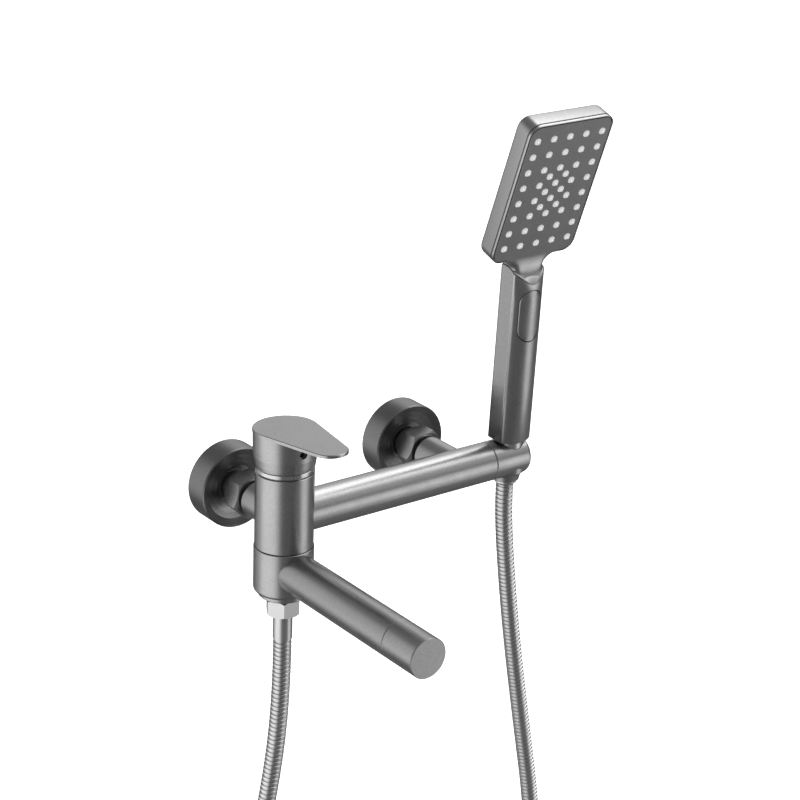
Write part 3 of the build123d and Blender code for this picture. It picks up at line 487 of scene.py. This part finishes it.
# %% [markdown]
# The face runs on without a seam into the neck: below the last nozzles it bends outwards in a hollow
# curve and ends in a tongue over the round top of the handle. It is drawn as rows across, from the top
# of the head down. On the flat face a row is straight, with a half width. On the neck every point of a
# row follows its own arc of a circle from the head's lower edge to the handle's round top.

# %% Sections of the handle and the neck
COLUMNS, SIDE_POINTS = 29, 15
EDGE = 0.45
SEAM_CENTRE = Vector((3.8, 131.4))
HANDLE_TOP_R, NECK_CUT_R = 18.0, 18.4


def bow(x, half, flat, crown):
    """How far out an arc stands at x, from `flat` at the sides to `crown` in the middle."""
    rise = crown - flat
    radius = (half ** 2 + rise ** 2) / (2 * rise)
    return crown - radius + math.sqrt(radius ** 2 - x ** 2)


def handle_section(inset=0.0):
    """Flat sides, bowed front and back, as (x, y) from the front left corner round to it again."""
    half, flat, crown = HALF_WIDTH - inset, SIDE_FLAT - 0.3 * inset, CROWN - inset
    across = [(half - EDGE) * (2 * i / (COLUMNS - 1) - 1) for i in range(COLUMNS)]
    along = [(flat - EDGE) * (2 * i / (SIDE_POINTS - 1) - 1) for i in range(SIDE_POINTS)]
    front = [(x, -bow(x, half, flat, crown)) for x in across]
    right = [(half, y) for y in along]
    back = [(-x, bow(x, half, flat, crown)) for x in across]
    left = [(-half, -y) for y in along]
    return front + right + back + left


def seam_height(y, radius):
    """Height of the handle's round top at a distance from its middle."""
    across = min(abs(y - SEAM_CENTRE.x), radius)
    return SEAM_CENTRE.y + math.sqrt(radius ** 2 - across ** 2)


def seam_loop(scale, radius, inset=0.0, lift=0.0):
    return [Vector((x * scale, y * scale, seam_height(y * scale, radius) + lift))
            for x, y in handle_section(inset)]


def handle_loop(z, inset=0.0):
    return [Vector((x, y, z)) for x, y in handle_section(inset)]


# %% The handle and its button
HANDLE_BOTTOM = 15.4
BUTTON_Z, BUTTON_HALF_LENGTH, BUTTON_HALF_WIDTH = 114.0, 19.3, 9.5
BUTTON_GAP, BUTTON_PROUD = 0.5, 0.2


def oval_block(inset, outline_steps=16):
    """Long oval outline in x and z."""
    half = BUTTON_HALF_WIDTH - inset
    reach = BUTTON_HALF_LENGTH - BUTTON_HALF_WIDTH
    outline = []
    for turn, side in ((0, 1), (180, -1)):
        for step in range(outline_steps + 1):
            angle = math.radians(turn + 180 * step / outline_steps)
            outline.append((half * math.cos(angle), BUTTON_Z + side * reach + half * math.sin(angle)))
    return outline


def button_loop(inset, sink):
    return [Vector((x, -bow(x, HALF_WIDTH, SIDE_FLAT, CROWN) + sink, z)) for x, z in oval_block(inset)]


def pocket_tool():
    outline = oval_block(-BUTTON_GAP)
    loops = [[Vector((x, y, z)) for x, z in outline] for y in (-CROWN - 2.0, -CROWN + 7.0)]
    return skinned("pocket_tool", loops, SOCKET)


handle_loops = [handle_loop(HANDLE_BOTTOM, 0.7), handle_loop(HANDLE_BOTTOM + 0.2, 0.25),
                handle_loop(HANDLE_BOTTOM + 0.7), handle_loop(60.0), handle_loop(125.0)]
handle_loops += [seam_loop(1.0, HANDLE_TOP_R, lift=-0.5), seam_loop(1.0, HANDLE_TOP_R, inset=0.5),
                 seam_loop(0.6, HANDLE_TOP_R), seam_loop(0.2, HANDLE_TOP_R)]
handle = cut_away(skinned("hand_shower_handle", handle_loops, SOCKET), pocket_tool())
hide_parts("handset_handle")
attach(handle, "handset")
button = skinned("hand_shower_button", [
    button_loop(0.0, 2.2), button_loop(0.0, 0.35), button_loop(0.12, 0.05), button_loop(0.45, -BUTTON_PROUD),
    button_loop(3.0, -BUTTON_PROUD), button_loop(6.0, -BUTTON_PROUD), button_loop(8.8, -BUTTON_PROUD),
], SOCKET)
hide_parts("pause_button")
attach(button, "button")
for piece in (handle, button):
    piece.data.materials.clear()
    piece.data.materials.append(GUNMETAL)
print("handle faces:", len(handle.data.polygons), "button faces:", len(button.data.polygons))

# %% The face and the tongue
FACE_INSET = 1.5
FACE_DEEP = 1.2
FACE_EDGE = 0.25
FLARE_R = 12.0
NECK_BACK = 15.4
NECK_ROWS = 26
ARC_PULL, BLEND = 0.36, 5
FLARE_PACE = 1.25
CORNER_STEPS, STRAIGHT_STEPS = 10, 20


def face_point(u, v, w):
    """A place on the head, in the socket's frame, in mm."""
    return HEAD_IN_SOCKET @ (Vector((u, v, w)) * MM) / MM


def head_section(half, deep, edge):
    """Outline of a row across the head, as (u, w), in the same order as the handle's section."""
    across = [(half - edge) * (2 * i / (COLUMNS - 1) - 1) for i in range(COLUMNS)]
    along = [edge + (deep - 2 * edge) * i / (SIDE_POINTS - 1) for i in range(SIDE_POINTS)]
    front = [(u, 0.0) for u in across]
    right = [(half, -w) for w in along]
    back = [(-u, -deep) for u in across]
    left = [(-half, w - deep) for w in along]
    return front + right + back + left


def face_rows():
    """Height and half width of every row of the flat face, from its top edge down."""
    half, corner = HEAD_WIDTH / 2 - FACE_INSET, HEAD_CORNER - FACE_INSET
    end = HEAD_LENGTH / 2 - FACE_INSET
    turns = [math.radians(90 * step / CORNER_STEPS) for step in range(CORNER_STEPS + 1)]
    rows = [(end - corner + corner * math.cos(t), half - corner + corner * math.sin(t)) for t in turns]
    span = 2 * (end - corner)
    rows += [(end - corner - span * step / STRAIGHT_STEPS, half) for step in range(1, STRAIGHT_STEPS)]
    rows += [(corner - end - corner * math.sin(t), half - corner + corner * math.cos(t)) for t in turns]
    return rows


def face_loop(v, half):
    return [face_point(u, v, w) for u, w in head_section(half, FACE_DEEP, FACE_EDGE)]


def bezier(a, b, c, d, t):
    s = 1.0 - t
    return a * s ** 3 + b * (3 * s * s * t) + c * (3 * s * t * t) + d * t ** 3


def rounded(loop, strength):
    """Softens the corners of a loop seen from above, more where the strength is higher."""
    soft = []
    for i, point in enumerate(loop):
        near = [loop[(i + step) % len(loop)] for step in range(-BLEND, BLEND + 1)]
        mean = sum(near, Vector()) / len(near)
        x = point.x + (mean.x - point.x) * strength
        y = point.y + (mean.y - point.y) * strength
        soft.append(Vector((x, y, point.z)))
    return soft


def neck_loops():
    """Circular streamlines from the head's lower edge to the handle's round top, read off row by row."""
    low = FACE_INSET - HEAD_LENGTH / 2
    down = (face_point(0, low - 1, 0) - face_point(0, low, 0))
    starts = [face_point(u, low, w) for u, w in head_section(1.0, NECK_BACK, EDGE)]
    ends = seam_loop(1.0, NECK_CUT_R, lift=0.5)
    loops = []
    for row in range(NECK_ROWS + 1):
        t = row / NECK_ROWS
        fallen = min(t * FLARE_PACE, 1.0)
        width = HALF_WIDTH + FLARE_R * (1 - math.sqrt(1 - (1 - fallen) ** 2))
        loop = []
        for start, end in zip(starts, ends):
            span = (end - start).length
            chord = (end - start) / span
            landing = 2 * down.dot(chord) * chord - down
            place = bezier(start, start + down * span * ARC_PULL, end - landing * span * ARC_PULL, end, t)
            loop.append(Vector((end.x * width / HALF_WIDTH, place.y, place.z)))
        loops.append(rounded(loop, math.sin(math.pi * t)))
    return loops


def hole_tool():
    """All the nozzle holes as one block of round pegs."""
    work = bmesh.new()
    for u, v in nozzle_places():
        peg = Matrix.Translation(Vector((u, v, 0.0)) * MM)
        bmesh.ops.create_cone(work, cap_ends=True, segments=24, radius1=NOZZLE_HOLE_R * MM,
                              radius2=NOZZLE_HOLE_R * MM, depth=2 * HOLE_DEPTH * MM, matrix=HEAD @ peg)
    data = bpy.data.meshes.new("hole_tool")
    work.to_mesh(data)
    work.free()
    tool = bpy.data.objects.new("hole_tool", data)
    scene.collection.objects.link(tool)
    return tool


NOZZLE_ACROSS, NOZZLE_DOWN, NOZZLE_HOLE_R, HOLE_DEPTH = 14.25, 12.6, 2.8, 0.85


def nozzle_places():
    """Five columns by eight rows, and six more between them in the middle."""
    grid = [(c, r) for c in range(5) for r in range(8)]
    grid += [(c, r) for c in (1.5, 2.5) for r in (2.5, 3.5, 4.5)]
    return [((c - 2) * NOZZLE_ACROSS, (3.5 - r) * NOZZLE_DOWN) for c, r in grid]


rows = face_rows()
face_loops = [[point - face_point(0, 0, FACE_EDGE) + face_point(0, 0, 0) for point in face_loop(*rows[0])]]
face_loops += [face_loop(v - 0.02, half) for v, half in rows]
tongue_end = [seam_loop(1.0, NECK_CUT_R, inset=0.5), seam_loop(0.6, NECK_CUT_R), seam_loop(0.2, NECK_CUT_R)]
face = skinned("hand_shower_face", face_loops + neck_loops() + tongue_end, SOCKET)
face = cut_away(face, hole_tool())
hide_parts("face_plate", "handset_neck")
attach(face, "handset")
face.data.materials.clear()
face.data.materials.append(GUNMETAL)
print("face faces:", len(face.data.polygons))

# %% [markdown]
# Forty-six soft nozzles stand in the holes. They are one rubber moulding on the real thing: five
# columns of eight, and six more that fill the middle. Geometry Nodes put one nozzle on every point of
# two grids, so the pitch and the counts stay easy to change.

# %% The nozzles, by Geometry Nodes
NOZZLE_HALF, NOZZLE_CORNER, NOZZLE_RISE, JET_R = 2.15, 1.1, 0.75, 0.6


def nozzle_shape():
    """One soft nozzle: a rounded square with a small jet in its middle, face up."""
    steps = 24

    def loop(half, corner, w):
        return [Vector((u, v, w)) for u, v in rounded_rectangle(2 * half, 2 * half, corner, steps // 4)]

    count = len(loop(NOZZLE_HALF, NOZZLE_CORNER, 0))
    corners = loop(NOZZLE_HALF, NOZZLE_CORNER, 0)

    def ring(radius, w):
        return [Vector((u.x, u.y, 0)).normalized() * radius + Vector((0, 0, w)) for u in corners[:count]]

    return skinned("nozzle", [
        loop(NOZZLE_HALF, NOZZLE_CORNER, -HOLE_DEPTH - 0.1),
        loop(NOZZLE_HALF, NOZZLE_CORNER, NOZZLE_RISE - 0.3),
        loop(NOZZLE_HALF - 0.12, NOZZLE_CORNER, NOZZLE_RISE - 0.08),
        loop(NOZZLE_HALF - 0.4, NOZZLE_CORNER - 0.2, NOZZLE_RISE),
        ring(JET_R, NOZZLE_RISE), ring(JET_R - 0.08, NOZZLE_RISE - 0.9),
    ], Matrix.Identity(4))


def grid_tree(material):
    """Puts a shape on every point of two grids that share a middle."""
    tree = bpy.data.node_groups.new("nozzle_grids", "GeometryNodeTree")
    tree.interface.new_socket(name="Geometry", in_out="INPUT", socket_type="NodeSocketGeometry")
    tree.interface.new_socket(name="Geometry", in_out="OUTPUT", socket_type="NodeSocketGeometry")
    for name, kind, value in (("Columns", "Int", 5), ("Rows", "Int", 8), ("Middle Columns", "Int", 2),
                              ("Middle Rows", "Int", 3), ("Across", "Float", NOZZLE_ACROSS * MM),
                              ("Down", "Float", NOZZLE_DOWN * MM)):
        socket_input(tree, name, "NodeSocket" + kind, value)
    given = tree.nodes.new("NodeGroupInput").outputs
    join = tree.nodes.new("GeometryNodeJoinGeometry")
    for columns, rows_name in (("Columns", "Rows"), ("Middle Columns", "Middle Rows")):
        grid = tree.nodes.new("GeometryNodeMeshGrid")
        tree.links.new(given[columns], grid.inputs["Vertices X"])
        tree.links.new(given[rows_name], grid.inputs["Vertices Y"])
        wide = math_node(tree, "MULTIPLY", math_node(tree, "SUBTRACT", given[columns], 1), given["Across"])
        long = math_node(tree, "MULTIPLY", math_node(tree, "SUBTRACT", given[rows_name], 1), given["Down"])
        tree.links.new(wide, grid.inputs["Size X"])
        tree.links.new(long, grid.inputs["Size Y"])
        tree.links.new(grid.outputs["Mesh"], join.inputs["Geometry"])
    place = tree.nodes.new("GeometryNodeInstanceOnPoints")
    tree.links.new(join.outputs["Geometry"], place.inputs["Points"])
    tree.links.new(given["Geometry"], place.inputs["Instance"])
    finish_tree(tree, place.outputs["Instances"], material)
    return tree


one_nozzle = nozzle_shape()
nozzles = with_tree(one_nozzle, grid_tree(NOZZLE), "hand_shower_nozzles", Columns=5, Rows=8)
bpy.data.objects.remove(one_nozzle)
nozzles.data.transform(HEAD)
smooth(outward(nozzles))
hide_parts("nozzle_mat")
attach(nozzles, "handset")
print("nozzle faces:", len(nozzles.data.polygons))

# %% Finishes on the loaded pieces
SLOT_FINISH = {
    "gunmetal": GUNMETAL, "polished_trim": TRIM, "face_grey": FACE, "nozzle_silicone": NOZZLE,
    "hose_steel": STEEL, "bright_steel": PLAIN_STEEL, "brass": BRASS, "rubber": RUBBER,
    "inner_plastic": PLASTIC, "ceramic": CERAMIC,
}
for subpart in frame["record"]["subparts"]:
    node = frame["nodes"][subpart["node"]]
    node.data.materials.clear()
    finish = SLOT_FINISH[subpart["material_slot"]]
    # The wall flanges take the darker copy of the satin: painted shade near the wall.
    if subpart["node"].startswith("wall_flange"):
        finish = FLANGE_PAINTED_SHADE
    node.data.materials.append(finish)

# %% [markdown]
# ## Floor and light
# Satin metal shows little of its own: what is seen on it is the room. So no lamp is used. The room is a
# grey that gets lighter upwards, with a few soft round patches where a studio would hang its lights. Each
# patch is named by its direction, so it is known which side of a tube it brightens.

# %% Floor and light
FLOOR_Z = cad_box[0][2] - 0.02
FLOOR_HALF = 6.0
ROOM_BELOW, ROOM_ABOVE = 0.14, 0.30


def make_floor():
    data = bpy.data.meshes.new("floor")
    corners = [(-1, -1), (1, -1), (1, 1), (-1, 1)]
    data.from_pydata([(x * FLOOR_HALF, y * FLOOR_HALF, FLOOR_Z) for x, y in corners], [], [(0, 1, 2, 3)])
    floor = bpy.data.objects.new("floor", data)
    scene.collection.objects.link(floor)
    material, nodes, links, shader = new_material("pale_floor")
    shader.inputs["Base Color"].default_value = (0.9, 0.9, 0.9, 1)
    shader.inputs["Roughness"].default_value = 0.9
    shader.inputs["Emission Color"].default_value = (1, 1, 1, 1)
    shader.inputs["Emission Strength"].default_value = 1.0
    data.materials.append(material)
    floor.visible_glossy = False
    floor.visible_diffuse = False
    floor.visible_shadow = False
    return floor


def lobe(nodes, links, ray, direction, inner, outer, strength):
    """A soft round patch of light on the room, seen in a direction; angles in degrees."""
    dot = nodes.new("ShaderNodeVectorMath")
    dot.operation = "DOT_PRODUCT"
    dot.inputs[1].default_value = Vector(direction).normalized()
    fade = nodes.new("ShaderNodeMapRange")
    fade.interpolation_type = "SMOOTHSTEP"
    fade.inputs["From Min"].default_value = math.cos(math.radians(outer))
    fade.inputs["From Max"].default_value = math.cos(math.radians(inner))
    fade.inputs["To Max"].default_value = strength
    links.new(ray, dot.inputs[0])
    links.new(dot.outputs["Value"], fade.inputs["Value"])
    return fade.outputs["Result"]


# Direction, inner and outer angle, and strength of every light patch round the piece.
LIGHT_PATCHES = [
    ((0.566, 0.03, 0.824), 18, 33, 2.3),
    ((0.566, 0.40, 0.72), 8, 22, 0.9),
    ((0.566, -0.60, 0.55), 6, 22, 0.5),
    ((0.566, -0.82, -0.09), 5, 20, 1.35),
    ((0.72, -0.59, -0.37), 5, 20, 1.0),
    ((-0.929, 0.041, -0.367), 12, 46, 1.4),
    ((-0.62, 0.74, 0.02), 10, 42, 0.65),
    ((0.62, 0.70, 0.35), 8, 26, 0.6),
    ((0.566, -0.344, -0.749), 12, 40, 0.1),
]


def make_world():
    world = bpy.data.worlds.new("studio")
    scene.world = world
    world.use_nodes = True
    nodes, links = world.node_tree.nodes, world.node_tree.links
    nodes.clear()
    out = nodes.new("ShaderNodeOutputWorld")
    mix = nodes.new("ShaderNodeMixShader")
    path = nodes.new("ShaderNodeLightPath")
    room = nodes.new("ShaderNodeBackground")
    white = nodes.new("ShaderNodeBackground")
    white.inputs["Color"].default_value = (1, 1, 1, 1)
    coordinates = nodes.new("ShaderNodeTexCoord")
    split = nodes.new("ShaderNodeSeparateXYZ")
    links.new(coordinates.outputs["Generated"], split.inputs[0])
    height = nodes.new("ShaderNodeMapRange")
    height.inputs["From Min"].default_value = -1.0
    height.inputs["To Min"].default_value = ROOM_BELOW
    height.inputs["To Max"].default_value = ROOM_ABOVE
    links.new(split.outputs["Z"], height.inputs["Value"])
    total = height.outputs["Result"]
    for patch in LIGHT_PATCHES:
        add = nodes.new("ShaderNodeMath")
        links.new(total, add.inputs[0])
        links.new(lobe(nodes, links, coordinates.outputs["Generated"], *patch), add.inputs[1])
        total = add.outputs[0]
    links.new(total, room.inputs["Strength"])
    room.inputs["Color"].default_value = (1, 1, 1, 1)
    links.new(path.outputs["Is Camera Ray"], mix.inputs["Fac"])
    links.new(room.outputs[0], mix.inputs[1])
    links.new(white.outputs[0], mix.inputs[2])
    links.new(mix.outputs[0], out.inputs["Surface"])


make_floor()
make_world()
